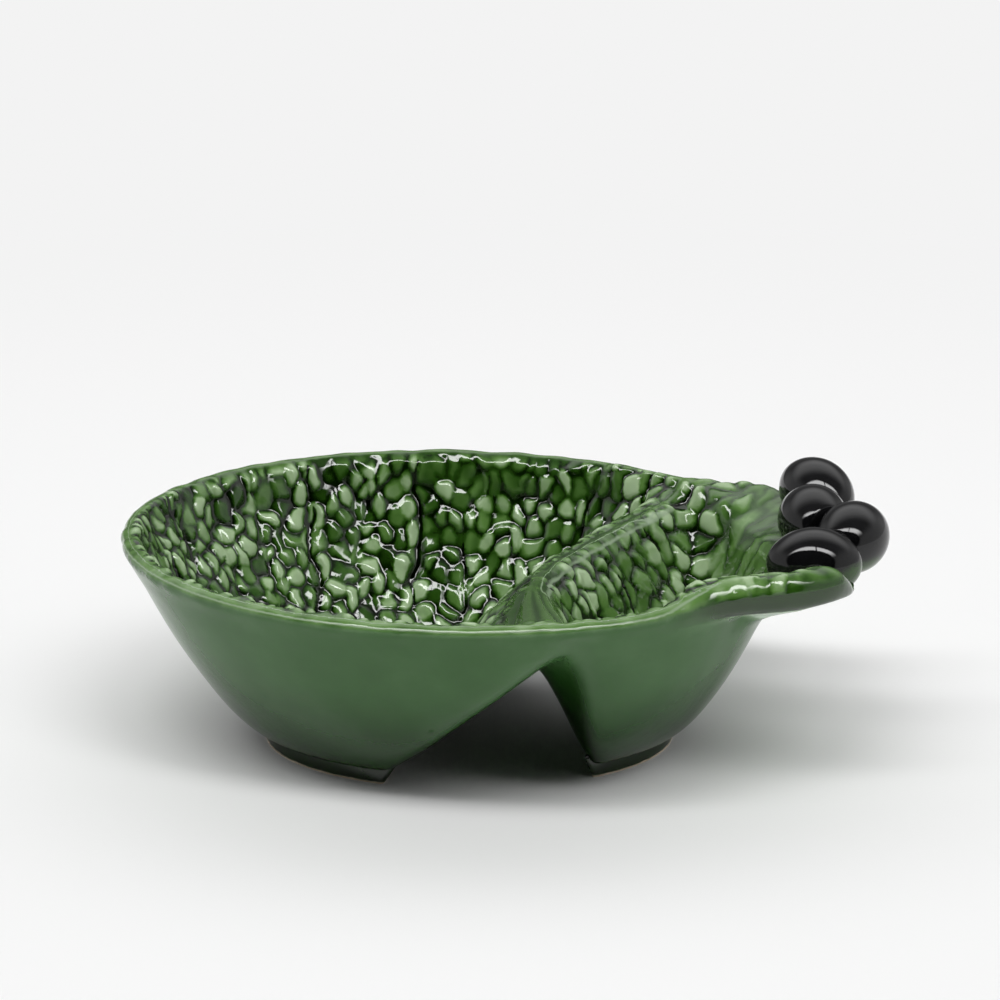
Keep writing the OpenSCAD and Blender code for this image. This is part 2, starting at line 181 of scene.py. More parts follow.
# Where each point lies on the leaf: its angle on the rim oval, how far in from the rim it is, and how
# far to the side of the fold's crest.
turn_cos = math.cos(RIM_TURN)
turn_sin = math.sin(RIM_TURN)
length_way = (x - RIM_MIDDLE[0]) * turn_cos + y * turn_sin
width_way = y * turn_cos - (x - RIM_MIDDLE[0]) * turn_sin
rim_angle = np.degrees(np.arctan2(width_way / RIM_HALF[1], length_way / RIM_HALF[0]))
rim_share = np.hypot(length_way / RIM_HALF[0], width_way / RIM_HALF[1])
rim_radius = np.hypot(RIM_HALF[0] * np.cos(np.radians(rim_angle)),
                      RIM_HALF[1] * np.sin(np.radians(rim_angle)))
rim_gap = (1.0 - rim_share) * rim_radius
past_bend = y - FOLD_BEND_Y
bend_reach = np.hypot(past_bend, FOLD_BEND_RADIUS)
fold_lean = FOLD_SLANT * (1.0 + past_bend / bend_reach) / 2.0
fold_side = (x - FOLD_X - FOLD_SLANT * (past_bend + bend_reach) / 2.0) / np.hypot(1.0, fold_lean)

# Directions at each point: down the slope of the skin, and level, straight out across the rim oval.
slope = np.sqrt(np.clip(1.0 - out[:, 2] ** 2, 1e-6, 1.0))
down = (out * out[:, 2:] - np.array([0.0, 0.0, 1.0])) / slope[:, None]
outward = np.stack([length_way / RIM_HALF[0] ** 2, width_way / RIM_HALF[1] ** 2], axis=1)
outward /= np.linalg.norm(outward, axis=1)[:, None]
outward = np.stack([outward[:, 0] * turn_cos - outward[:, 1] * turn_sin,
                    outward[:, 0] * turn_sin + outward[:, 1] * turn_cos, np.zeros(count)], axis=1)
faces_out = (out * outward).sum(axis=1)

# Regions of the top, told by place and slope: the steep inside of the back wall, the blistered basins, the
# smooth knuckle at the front end of the fold, the smooth band along its crest, the fold's flank, and the
# streaked wall and shelf by the olives.
BACK_INSIDE_Y = (20.0, 40.0)
BACK_WALL_Y = (25.0, 50.0)
BACK_WALL_END_X = (20.0, 40.0)
OLIVES_START_ANGLE = (-30.0, -20.0)
OLIVES_END_ANGLE = (44.0, 58.0)
SHELF_RIM_GAP = (-12.0, -8.0)
SMOOTH_RIM = 2.6
SMOOTH_RIM_MORE_AT_BACK = 1.4
SMOOTH_RIM_BLUR = 1.6
KNUCKLE_REACH = (26.0, 40.0)
KNUCKLE_HALF = (4.0, 8.0)
KNUCKLE_RIM_GAP = (3.0, 6.0)
KNUCKLE_SPREAD_Y = -37.0
KNUCKLE_SPREAD = 0.27
CREST_RIGHT = (0.5, 3.5)
CREST_LEFT = (1.0, 3.5)
STREAKS_FROM_CREST = (14.0, 24.0)
STREAKS_RIM_SHARES = (0.55, 0.75)
FLANK_TOP = (1.0, 5.0)
FLANK_FOOT = (18.0, 24.0)
back_inside = rise(-faces_out, 0.3, 0.6) * rise(y, *BACK_INSIDE_Y) * rise(out[:, 2], -0.1, 0.05)
top = np.maximum(rise(out[:, 2], 0.15, 0.32), back_inside)
by_olives = rise(rim_angle, *OLIVES_START_ANGLE) * (1.0 - rise(rim_angle, *OLIVES_END_ANGLE))
back_wall = rise(y, *BACK_WALL_Y) * (1.0 - rise(x, *BACK_WALL_END_X))
rim_band = SMOOTH_RIM + SMOOTH_RIM_MORE_AT_BACK * back_wall
basin = top * np.maximum(rise(rim_gap - rim_band, 0.0, SMOOTH_RIM_BLUR),
                         by_olives * rise(rim_gap, *SHELF_RIM_GAP))
front_reach = np.clip(KNUCKLE_SPREAD_Y - y, 0.0, None)
knuckle_right = np.clip(fold_side - KNUCKLE_SPREAD * front_reach, 0.0, None)
knuckle_side = np.where(fold_side > 0.0, knuckle_right, -fold_side)
knuckle = top * rise(-y, *KNUCKLE_REACH) * (1.0 - rise(knuckle_side, *KNUCKLE_HALF))
knuckle *= rise(rim_gap, *KNUCKLE_RIM_GAP)
crest_band = np.where(fold_side > 0.0, 1.0 - rise(fold_side, *CREST_RIGHT),
                      1.0 - rise(-fold_side, *CREST_LEFT))
streaked = basin * rise(fold_side, *STREAKS_FROM_CREST) * rise(rim_share, *STREAKS_RIM_SHARES) * by_olives
flank = basin * rise(fold_side, *FLANK_TOP) * (1.0 - rise(fold_side, *FLANK_FOOT))
skin = np.where(top > 0.02)[0]

# On the level shelf, down is taken to be inwards. Along lies across it on the skin.
level = (1.0 - rise(slope, 0.25, 0.5)) * by_olives
down = down * (1.0 - level)[:, None] - outward * level[:, None]
down /= np.linalg.norm(down, axis=1)[:, None]
along = np.cross(out, down)
along /= np.linalg.norm(along, axis=1)[:, None]

# A fixed seed, so that the veins and blisters fall in the same places each time.
WANDER_SEED = 5
noise.seed_set(WANDER_SEED)


def wander(wave, reach):
    """A smooth wandering shift of each point of the skin, over the given wave length."""
    return np.array([noise.noise_vector(Vector(p) / wave) for p in spots[skin]]) * reach


def patches(wave, seed):
    """A smooth field of about -1 to 1 over the skin, with the given wave length."""
    return np.array([noise.noise(Vector(p) / wave + Vector((seed, 0.0, 0.0))) for p in spots[skin]]) * 1.6


# The main veins follow those of the solid: down the wall at even angles of the ovals, and across the fold
# on the floor. The wall's share from base to rim is found by halving.
VEIN_STEP = 12.0
PANEL_WIDTH = 13.0
HALVINGS = 22
CHANCE_SEED = 11
VEIN_DRAWS = 80
place = spots[skin] + wander(15.0, 4.5) + wander(5.0, 0.9)
low_share = np.zeros(len(skin))
high_share = np.full(len(skin), 1.4)
for _ in range(HALVINGS):
    share = (low_share + high_share) / 2.0
    gap_x = place[:, 0] - BASE_MIDDLE[0] - share * (RIM_MIDDLE[0] - BASE_MIDDLE[0])
    gap_y = place[:, 1] - BASE_MIDDLE[1] - share * (RIM_MIDDLE[1] - BASE_MIDDLE[1])
    xx = (1.0 - share) * BASE_HALF[0] + share * turn_cos * (RIM_HALF[0] - WALL_THICKNESS)
    xy = -share * turn_sin * (RIM_HALF[1] - WALL_THICKNESS)
    yx = share * turn_sin * (RIM_HALF[0] - WALL_THICKNESS)
    yy = (1.0 - share) * BASE_HALF[1] + share * turn_cos * (RIM_HALF[1] - WALL_THICKNESS)
    oval_x = (yy * gap_x - xy * gap_y) / (xx * yy - xy * yx)
    oval_y = (xx * gap_y - yx * gap_x) / (xx * yy - xy * yx)
    beyond = np.hypot(oval_x, oval_y) > 1.0
    low_share = np.where(beyond, share, low_share)
    high_share = np.where(beyond, high_share, share)
wall_angle = np.degrees(np.arctan2(oval_y, oval_x))
angle_step = np.radians(np.hypot(xx * np.sin(np.radians(wall_angle)), yy * np.cos(np.radians(wall_angle))))
on_wall = rise(share, 0.02, 0.12)
wall_column = wall_angle / VEIN_STEP
floor_column = place[:, 1] / PANEL_WIDTH
wall_gap = np.abs(wall_column - np.round(wall_column)) * VEIN_STEP * angle_step
floor_gap = np.abs(floor_column - np.round(floor_column)) * PANEL_WIDTH
vein_gap = wall_gap * on_wall + floor_gap * (1.0 - on_wall)
chance = np.random.default_rng(CHANCE_SEED)
wall_strength = chance.uniform(0.5, 1.0, VEIN_DRAWS)[np.round(wall_column).astype(int) + VEIN_DRAWS // 2]
vein_strength = wall_strength * on_wall + 0.6 * (1.0 - on_wall)
vein_strength = vein_strength * (1.0 - 0.8 * streaked[skin]) * (0.65 + 0.35 * patches(16.0, 3.0))

# Blisters are larger on the back wall and the fold's flank, and drawn out long by the olives. Each pair is a
# width and a length.
PLAIN_BLISTER = (2.9, 4.5)
MORE_ON_BACK_WALL = (0.8, 0.5)
MORE_ON_FLANK = (1.8, 0.6)
MORE_BY_OLIVES = (1.0, 8.0)
SOWING_TRIES = 26000
NEAR_SEEDS = 12
blister_width, blister_length = [
    PLAIN_BLISTER[way] + MORE_ON_BACK_WALL[way] * back_wall + MORE_ON_FLANK[way] * flank
    + MORE_BY_OLIVES[way] * streaked for way in (0, 1)]


def sow(width, length, tries):
    """Points of the skin, none of which lies within the oval of another."""
    found = np.empty((tries, 3))
    total = 0
    for point in chance.permutation(skin)[:tries]:
        gap = found[:total] - spots[point]
        reach = (gap @ along[point] / width[point]) ** 2
        reach += (gap @ down[point] / length[point]) ** 2
        reach += (gap @ out[point] / width[point]) ** 2
        if total == 0 or reach.min() > 1.0:
            found[total] = spots[point]
            total += 1
    return found[:total]


seeds = sow(blister_width, blister_length, SOWING_TRIES)
seed_tree = kdtree.KDTree(len(seeds))
for index, seed in enumerate(seeds):
    seed_tree.insert(seed, index)
seed_tree.balance()
places = spots[skin] + wander(5.0, 1.3) + wander(2.2, 0.35)
near = np.array([[hit[1] for hit in seed_tree.find_n(p, NEAR_SEEDS)] for p in places])
gap = places[:, None, :] - seeds[near]
swing = np.radians(28.0 * patches(9.0, 9.0))[:, None]
gap_along = np.einsum("ijk,ik->ij", gap, along[skin])
gap_down = np.einsum("ijk,ik->ij", gap, down[skin])
gap_out = np.einsum("ijk,ik->ij", gap, out[skin])
cell = np.stack([(gap_along * np.cos(swing) + gap_down * np.sin(swing)) / blister_width[skin, None],
                 (gap_down * np.cos(swing) - gap_along * np.sin(swing)) / blister_length[skin, None],
                 gap_out / blister_width[skin, None]], axis=2)
reach = np.linalg.norm(cell, axis=2)
rows = np.arange(len(skin))
first = reach.argmin(axis=1)
least = reach[rows, first]
apart = np.linalg.norm(cell - cell[rows, first][:, None, :], axis=2)
border = (reach ** 2 - least[:, None] ** 2) / (2.0 * np.clip(apart, 0.2, None))

# Some neighbours run together, where the valley between them is filled. The corners of each are rounded.
PAIR_DRAWS = 997
CORNER_SOFTNESS = 9.0
own = near[rows, first][:, None]
filled = chance.uniform(0.0, 1.0, PAIR_DRAWS)[(near * own + near + own) % PAIR_DRAWS]
border += 0.26 * rise(filled, 0.62, 0.95)
border[rows, first] = 9.0
nearness = np.exp(-14.0 * (reach - least[:, None]))
tall = (nearness * chance.uniform(0.5, 1.15, len(seeds))[near]).sum(axis=1) / nearness.sum(axis=1)
edge_gap = -np.log(np.exp(-CORNER_SOFTNESS * border).sum(axis=1)) / CORNER_SOFTNESS
edge_share = np.clip((edge_gap + 0.02) / 0.38, 0.0, 1.0)
lump = tall * edge_share * (2.0 - edge_share)
tone = (nearness * chance.uniform(-0.06, 0.10, len(seeds))[near]).sum(axis=1) / nearness.sum(axis=1)
tone += 0.10 * patches(10.0, 4.0)

# Veins are sharp grooves with raised sides. Blisters stop short of them, and some panels have few.
BLISTER_HEIGHT = 1.45
BLISTER_FLOOR = 0.7
GROOVE_WIDTH = 0.75
GROOVE_DEPTH = 1.1
GROOVE_SIDE_HEIGHT = 0.60
groove = np.exp(-(vein_gap / GROOVE_WIDTH) ** 2) * np.clip(vein_strength, 0.0, 1.0)
groove_side = np.exp(-((vein_gap - 2.0) / 0.9) ** 2) * np.clip(vein_strength, 0.0, 1.0)
full = 1.0 - 0.6 * back_wall[skin] * rise(patches(9.0, 7.0), -0.1, 0.5)
blistered = (basin * (1.0 - knuckle) * (1.0 - 0.85 * crest_band) * (1.0 - 0.65 * streaked))[skin]
relief = np.zeros(count)
relief[skin] = blistered * (BLISTER_HEIGHT * full * lump * (1.0 - groove) - BLISTER_FLOOR
                            - GROOVE_DEPTH * groove + GROOVE_SIDE_HEIGHT * groove_side
                            + 0.35 * patches(8.0, 1.0) + 0.08 * patches(2.4, 5.0))

# Under the back rim runs a wavy ledge that leans up and catches the light.
LEDGE_DEPTH = 1.25
LEDGE_FALL = 1.8
LEDGE_START = 0.4
LEDGE_WAVER = 0.4
LEDGE_END = (2.8, 12.0)
RIM_WAVE = 7.0
lip_wave = np.array([noise.noise(Vector(p) / RIM_WAVE) for p in spots])
lip_drop = RIM_HEIGHT - z + LEDGE_WAVER * lip_wave
ledge = np.clip((lip_drop - LEDGE_START) / LEDGE_FALL, 0.0, 1.0) * (1.0 - rise(lip_drop, *LEDGE_END))
relief += back_inside * back_wall * LEDGE_DEPTH * ledge

# Creases that fan out on the knuckle, each with its angle, width and depth, the crease along the crest, and
# the crimped inner edge and wavy top of the rim.
KNUCKLE_CREASES = ((-9.0, 2.0, 0.6), (0.5, 1.6, 0.8), (8.0, 1.5, 1.1))
CREASES_REACH = (27.0, 42.0)
FAN_MIDDLE_Y = -24.0
FAN_LEAN = 0.10
CREST_CREASE_Y = (-30.0, -14.0)
CREST_CREASE_WIDTH = 0.6
CREST_CREASE_DEPTH = 0.9
CRIMP_WAVE = 4.2
CRIMP_START = (2.6, 4.4)
CRIMP_END = (5.5, 9.0)
RIM_WAVE_HEIGHT = 0.5
RIM_TOP_Z = (52.0, 55.0)
RIM_INNER_EDGE = (4.0, 6.0)
fan = np.degrees(np.arctan2(fold_side - FAN_LEAN * front_reach, np.clip(FAN_MIDDLE_Y - y, 1.0, None)))
for crease_fan, crease_width, crease_depth in KNUCKLE_CREASES:
    crease = np.exp(-((fan - crease_fan) / crease_width) ** 2)
    relief -= knuckle * rise(-y, *CREASES_REACH) * crease_depth * crease
crest_crease = np.exp(-((fold_side + CREST_CREASE_WIDTH) / CREST_CREASE_WIDTH) ** 2)
crest_crease *= rise(y, *CREST_CREASE_Y)
crest_crease *= basin
relief -= CREST_CREASE_DEPTH * crest_crease
crimp_wave = np.array([noise.noise(Vector((p[0], p[1], 0.0)) / CRIMP_WAVE) for p in spots])
crimp = top * rise(rim_gap, *CRIMP_START) * (1.0 - rise(rim_gap, *CRIMP_END))
crimp *= 1.0 - knuckle
crimp *= 1.0 - by_olives
relief += crimp * (1.0 - 0.5 * back_wall) * crimp_wave
rim_edge = rise(z, *RIM_TOP_Z) * (1.0 - rise(rim_gap, *RIM_INNER_EDGE)) * (1.0 - by_olives)
relief += rim_edge * RIM_WAVE_HEIGHT * lip_wave

# Cross ribs on the rolled edge, the parting groove below them, and soft waves on the smooth outside.
ROLL_START_ANGLE = (-45.0, -34.0)
ROLL_END_ANGLE = (-8.0, -2.0)
ROLL_RIM_GAP = (-3.0, 1.0)
RIBS_PER_RADIAN = 78.0
RIB_HEIGHT = 0.12
PARTING_HEIGHT = 51.4
PARTING_WIDTH = 0.6
PARTING_DEPTH = 0.5
SWELL_WAVE = 26.0
SWELL_HEIGHT = 0.6
SWELL_START_Z = (8.0, 20.0)
SWELL_END_Z = (46.0, 50.0)
rolled = rise(rim_angle, *ROLL_START_ANGLE) * (1.0 - rise(rim_angle, *ROLL_END_ANGLE))
rolled *= rise(-rim_gap, *ROLL_RIM_GAP)
ribs = np.sin(np.radians(rim_angle) * RIBS_PER_RADIAN + 1.3 * np.sin(np.radians(rim_angle) * 21.0))
relief += rolled * rise(out[:, 2], 0.4, 0.8) * RIB_HEIGHT * ribs
parting = rolled * np.exp(-((z - PARTING_HEIGHT) / PARTING_WIDTH) ** 2) * rise(faces_out, 0.3, 0.6)
relief -= PARTING_DEPTH * parting
swell = np.array([noise.noise(Vector(p) / SWELL_WAVE) for p in spots])
relief += (1.0 - top) * rise(z, *SWELL_START_Z) * (1.0 - rise(z, *SWELL_END_Z)) * SWELL_HEIGHT * swell

# The glaze rounds off what it covers: the fired surface is an evened copy of the clay's.
FIRED_STEPS = 4
fired = relief.copy()
for _ in range(FIRED_STEPS):
    fired += 0.5 * (neighbour_mean(fired) - fired)
spots += out * fired[:, None]
leaf.data.vertices.foreach_set("co", (spots * MM).ravel())
leaf.data.update()

# How thin the glaze lies: 0 where it pools in hollows and 1 where it has run off. Painted light and shade
# are added to it on the roll and on the outside. Hollows and bumps are told by how far a point stands above
# the mean of the points round it.
MEAN_STEPS = 16
ROLL_BOTTOM_Z = (51.0, 52.0)
ROLL_BAND_Z = (45.0, 47.0)
mean = relief.copy()
for _ in range(MEAN_STEPS):
    mean = 0.3 * mean + 0.7 * neighbour_mean(mean)
proud = relief - mean
thinness_and_light = np.full(count, 0.30)
thinness_and_light[skin] = (0.40 + 0.06 * crest_band + 0.09 * streaked + 0.09 * flank + 0.05 * back_wall)[skin]
thinness_and_light += top * 0.22 * np.clip(proud, -0.7, 0.7)
thinness_and_light[skin] += blistered * ((0.66 - 0.04 * back_wall[skin]) * lump ** 2 + tone - 0.24 - 0.12 * groove)
# On the roll the glaze runs thinner on the rib crests. Its upward faces are painted lighter and its front
# face darker, as painted light and shade.
thinness_and_light += rolled * (0.07 * rise(out[:, 2], 0.3, 0.8) * (1.0 + ribs) - 0.10 * rise(z, *ROLL_BOTTOM_Z)
                  * (1.0 - rise(out[:, 2], 0.2, 0.6)))
thinness_and_light += 0.28 * top * (1.0 - rise(rim_gap, 2.5, 4.5)) * (1.0 - by_olives) * (1.0 - 1.2 * np.abs(crimp_wave))
# The band under the roll's parting line is painted pale: a painted reflection of the table in front.
thinness_and_light += 0.62 * rolled * (1.0 - rise(z, *ROLL_BOTTOM_Z)) * rise(z, *ROLL_BAND_Z)
# The outside is painted darker towards the foot and a little lighter higher up: painted shade and light.
thinness_and_light += (1.0 - top) * (0.08 * rise(z, 20.0, 44.0) - 0.22 * (1.0 - rise(z, 6.0, 36.0)))
# Outside faces that turn away from the rim, in the channel under the fold and underneath, are painted darker:
# painted shade.
thinness_and_light -= 0.2 * (1.0 - top) * (1.0 - rise(faces_out, 0.2, 0.6)) * (1.0 - rise(z, 40.0, 46.0))
thinness_and_light = np.clip(thinness_and_light - 0.3 * parting, 0.0, 1.0)
outside = (1.0 - top) * (1.0 - rolled * rise(z, *ROLL_BOTTOM_Z))

# A pale line along the rim's outer edge, where the glaze runs thin and which is partly a painted highlight,
# and a soft change from inside to outside there.
RIM_BLEND_STEPS = 3
on_rim = rise(faces_out, 0.0, 0.25) * rise(z, 48.0, 52.0) * (1.0 - rolled)
rim_place = on_rim * (out[:, 2] - 0.60) - (1.0 - on_rim)
for _ in range(RIM_BLEND_STEPS):
    thinness_and_light += 0.5 * on_rim * (neighbour_mean(thinness_and_light) - thinness_and_light)
    outside += 0.5 * on_rim * (neighbour_mean(outside) - outside)

# The glaze also needs the gap to the nearest vein, which is put out of reach where the vein is faint.
FAR_FROM_VEINS = 9.0
vein_values = np.full(count, FAR_FROM_VEINS)
vein_values[skin] = vein_gap + FAR_FROM_VEINS * (1.0 - rise(vein_strength * blistered, 0.15, 0.5))
for name, values in (("thinness_and_painted_light", thinness_and_light), ("outside", outside), ("rim_place", rim_place),
                     ("vein_gap", vein_values)):
    layer = leaf.data.attributes.new(name, "FLOAT", "POINT")
    layer.data.foreach_set("value", values.astype(np.float32))
leaf.data.polygons.foreach_set("use_smooth", np.ones(len(leaf.data.polygons), dtype=bool))
leaf.data.update()

# The mesh is thinned to a weight that a library can carry, most where the skin is even.
TRIANGLE_LIMIT = 190000
leaf.data.calc_loop_triangles()
apply_modifier(leaf, "DECIMATE", ratio=TRIANGLE_LIMIT / len(leaf.data.loop_triangles))


def ink(code):
    """A linear colour from an sRGB hex value."""
    parts = [int(code[i:i + 2], 16) / 255.0 for i in (1, 3, 5)]
    return tuple(p / 12.92 if p <= 0.04045 else ((p + 0.055) / 1.055) ** 2.4 for p in parts) + (1.0,)


def add_node(tree, kind, settings=None, inputs=None, stops=()):
    """Adds a node, sets its properties and its colour stops, and sets or links its inputs."""
    node = tree.nodes.new(kind)
    for key, value in (settings or {}).items():
        setattr(node, key, value)
    for key, value in (inputs or {}).items():
        if isinstance(value, bpy.types.NodeSocket):
            tree.links.new(value, node.inputs[key])
        else:
            node.inputs[key].default_value = value
    while stops and len(node.color_ramp.elements) < len(stops):
        node.color_ramp.elements.new(0.5)
    for number, (place, code) in enumerate(stops):
        node.color_ramp.elements[number].position = place
        node.color_ramp.elements[number].color = ink(code)
    return node


def new_material(name):
    """An empty node material and its tree."""
    material = bpy.data.materials.new(name)
    material.use_nodes = True
    material.node_tree.nodes.clear()
    return material, material.node_tree


# Clear green glaze on earthenware, fired glossy: wet-looking, near black where it is deep and pale green
# where thin, and lighter or darker where light and shade are painted in. It is greyer and shines less on the
# thinly dipped outside. Slow ripples bend the reflections.
CLOUD_WIDTH = 14.0
RIPPLE_WIDTH = 5.0
RIPPLE_HEIGHT = 1.0
VEIN_LINE = (0.15, 0.75)
RIM_LINE = (0.02, 0.20)
INNER_GREENS = ((0.08, "#010400"), (0.26, "#0C2002"), (0.46, "#2B4F15"), (0.68, "#5E8542"), (0.95, "#A8C296"))
# The palest outer green is there for the painted reflection on the band under the roll.
OUTER_GREENS = ((0.06, "#0A2004"), (0.22, "#1B4010"), (0.44, "#456A3D"), (0.72, "#7C9A74"), (1.0, "#CFE4CB"))
# The line along the rim's outer edge is pale green where the glaze runs thin, and partly a painted highlight.
RIM_THIN_GLAZE_AND_SHEEN = "#8FA585"
green_glaze, tree = new_material("green_glaze_on_earthenware")
coords = add_node(tree, "ShaderNodeTexCoord")
thinness_layer = add_node(tree, "ShaderNodeAttribute", {"attribute_name": "thinness_and_painted_light"})
outside_layer = add_node(tree, "ShaderNodeAttribute", {"attribute_name": "outside"})
rim_layer = add_node(tree, "ShaderNodeAttribute", {"attribute_name": "rim_place"})
vein_layer = add_node(tree, "ShaderNodeAttribute", {"attribute_name": "vein_gap"})
cloud = add_node(tree, "ShaderNodeTexNoise", None,
                 {"Vector": coords.outputs["Object"], "Scale": 1.0 / (CLOUD_WIDTH * MM), "Detail": 4.0})
clouded = add_node(tree, "ShaderNodeMath", {"operation": "MULTIPLY_ADD"},
                   {0: cloud.outputs["Fac"], 1: 0.12, 2: thinness_layer.outputs["Fac"]})
vein_line = add_node(tree, "ShaderNodeMapRange", {"interpolation_type": "SMOOTHSTEP"},
                     {"Value": vein_layer.outputs["Fac"], "From Min": VEIN_LINE[0], "From Max": VEIN_LINE[1],
                      "To Min": 0.25, "To Max": 1.0})
pooled = add_node(tree, "ShaderNodeMath", {"operation": "MULTIPLY"},
                  {0: clouded.outputs["Value"], 1: vein_line.outputs["Result"]})
inner_green = add_node(tree, "ShaderNodeValToRGB", None, {"Fac": pooled.outputs["Value"]}, INNER_GREENS)
outer_green = add_node(tree, "ShaderNodeValToRGB", None, {"Fac": clouded.outputs["Value"]}, OUTER_GREENS)
both_green = add_node(tree, "ShaderNodeMix", {"data_type": "RGBA"},
                      {"Factor": outside_layer.outputs["Fac"], "A": inner_green.outputs["Color"],
                       "B": outer_green.outputs["Color"]})
rim_far = add_node(tree, "ShaderNodeMath", {"operation": "ABSOLUTE"}, {0: rim_layer.outputs["Fac"]})
rim_line = add_node(tree, "ShaderNodeMapRange", {"interpolation_type": "SMOOTHSTEP"},
                    {"Value": rim_far.outputs["Value"], "From Min": RIM_LINE[0], "From Max": RIM_LINE[1],
                     "To Min": 0.85, "To Max": 0.0})
colour = add_node(tree, "ShaderNodeMix", {"data_type": "RGBA"},
                  {"Factor": rim_line.outputs["Result"], "A": both_green.outputs["Result"],
                   "B": ink(RIM_THIN_GLAZE_AND_SHEEN)})
ripple = add_node(tree, "ShaderNodeTexNoise", None,
                  {"Vector": coords.outputs["Object"], "Scale": 1.0 / (RIPPLE_WIDTH * MM), "Detail": 2.0})
bump = add_node(tree, "ShaderNodeBump", None,
                {"Height": ripple.outputs["Fac"], "Strength": 0.08, "Distance": RIPPLE_HEIGHT * MM})
shine = add_node(tree, "ShaderNodeMapRange", None,
                 {"Value": outside_layer.outputs["Fac"], "To Min": 0.06, "To Max": 0.16})
rim_roughness = add_node(tree, "ShaderNodeMath", {"operation": "MULTIPLY_ADD"},
                {0: rim_line.outputs["Result"], 1: 0.25, 2: shine.outputs["Result"]})
density = add_node(tree, "ShaderNodeMapRange", None,
                   {"Value": outside_layer.outputs["Fac"], "To Min": 1.62, "To Max": 1.35})
shader = add_node(tree, "ShaderNodeBsdfPrincipled", None,
                  {"Base Color": colour.outputs["Result"], "Roughness": rim_roughness.outputs["Value"],
                   "IOR": density.outputs["Result"], "Normal": bump.outputs["Normal"]})
add_node(tree, "ShaderNodeOutputMaterial", None, {"Surface": shader.outputs["BSDF"]})
leaf.data.materials.append(green_glaze)
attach(leaf, "root")
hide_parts("leaf_dish")


# Foot rings: two low walls of clay luted under the basins, glazed with the leaf.
# The lower edge is wiped clean before firing, so the dish doesn't stick to the kiln shelf.
SUNK_DEPTH = 1.2
CORNER_ROUND = 2.0
EDGE_ROUND = 0.7
RING_LEANS = (("large_foot_ring", 3.4), ("small_foot_ring", -2.0))
LEAN_REACH = (1.0, 9.0)
UPPER_FROM = 2.0
CORNER_HEIGHT = 3.0
FOOT_CLOUD_WIDTH = 4.0
CLAY_TO_GLAZE = (0.55, 0.85)
CLAY_WAVER = 0.5
BARE_CLAY = "#D6C8B2"
# The foot's greens are painted dark: painted shade under the dish.
FOOT_GREENS = ((0.25, "#0B1D04"), (0.75, "#1E3A10"))

# Green glaze, fired glossy and painted dark as shade under the dish, above a thin wavering line of bare clay,
# which is pale and matt.
foot_glaze, tree = new_material("green_glaze_with_wiped_clay_edge")
coords = add_node(tree, "ShaderNodeTexCoord")
parts = add_node(tree, "ShaderNodeSeparateXYZ", None, {"Vector": coords.outputs["Object"]})
cloud = add_node(tree, "ShaderNodeTexNoise", None,
                 {"Vector": coords.outputs["Object"], "Scale": 1.0 / (FOOT_CLOUD_WIDTH * MM), "Detail": 4.0})
wiped = add_node(tree, "ShaderNodeMath", {"operation": "MULTIPLY_ADD"},
                 {0: cloud.outputs["Fac"], 1: CLAY_WAVER * MM, 2: parts.outputs["Z"]})
wiped_ramp = add_node(tree, "ShaderNodeMapRange", None,
                      {"Value": wiped.outputs["Value"], "From Min": CLAY_TO_GLAZE[0] * MM,
                       "From Max": CLAY_TO_GLAZE[1] * MM})
green = add_node(tree, "ShaderNodeValToRGB", None, {"Fac": cloud.outputs["Fac"]}, FOOT_GREENS)
colour = add_node(tree, "ShaderNodeMix", {"data_type": "RGBA"},
                  {"Factor": wiped_ramp.outputs["Result"], "A": ink(BARE_CLAY), "B": green.outputs["Color"]})
shine = add_node(tree, "ShaderNodeMapRange", None,
                 {"Value": wiped_ramp.outputs["Result"], "To Min": 0.8, "To Max": 0.08})
shader = add_node(tree, "ShaderNodeBsdfPrincipled", None,
                  {"Base Color": colour.outputs["Result"], "Roughness": shine.outputs["Result"], "IOR": 1.52})
add_node(tree, "ShaderNodeOutputMaterial", None, {"Surface": shader.outputs["BSDF"]})
for node, lean in RING_LEANS:
    ring = merged_copy(node, node + "_luted")
    bpy.ops.object.mode_set(mode="EDIT")
    bpy.ops.mesh.select_all(action="SELECT")
    bpy.ops.mesh.dissolve_limited(angle_limit=math.radians(1.0))
    bpy.ops.object.mode_set(mode="OBJECT")
    points = np.empty(len(ring.data.vertices) * 3)
    ring.data.vertices.foreach_get("co", points)
    points = points.reshape(-1, 3) / MM
    bend = points[:, 1] - FOLD_BEND_Y
    from_fold = np.abs(points[:, 0] - FOLD_X - FOLD_SLANT * (bend + np.hypot(bend, FOLD_BEND_RADIUS)) / 2.0)
    upper = points[:, 2] > UPPER_FROM
    points[upper, 2] += SUNK_DEPTH
    by_channel = 1.0 - rise(from_fold - from_fold.min(), *LEAN_REACH)
    points[upper, 0] += (lean * by_channel)[upper]
    ring.data.vertices.foreach_set("co", (points * MM).ravel())
    ring.data.update()
    shape = bmesh.new()
    shape.from_mesh(ring.data)
    corners = [edge for edge in shape.edges
               if abs(edge.verts[0].co.z - edge.verts[1].co.z) > CORNER_HEIGHT * MM
               and edge.calc_face_angle(0.0) > math.radians(38.0)]
    bmesh.ops.bevel(shape, geom=corners, offset=CORNER_ROUND * MM, segments=5, profile=0.5, affect="EDGES")
    shape.to_mesh(ring.data)
    shape.free()
    apply_modifier(ring, "BEVEL", width=EDGE_ROUND * MM, segments=3, limit_method="ANGLE",
                   angle_limit=math.radians(35.0))
    bpy.ops.object.shade_smooth_by_angle(angle=math.radians(50.0))
    ring.data.materials.append(foot_glaze)
    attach(ring, "root")
    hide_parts(node)


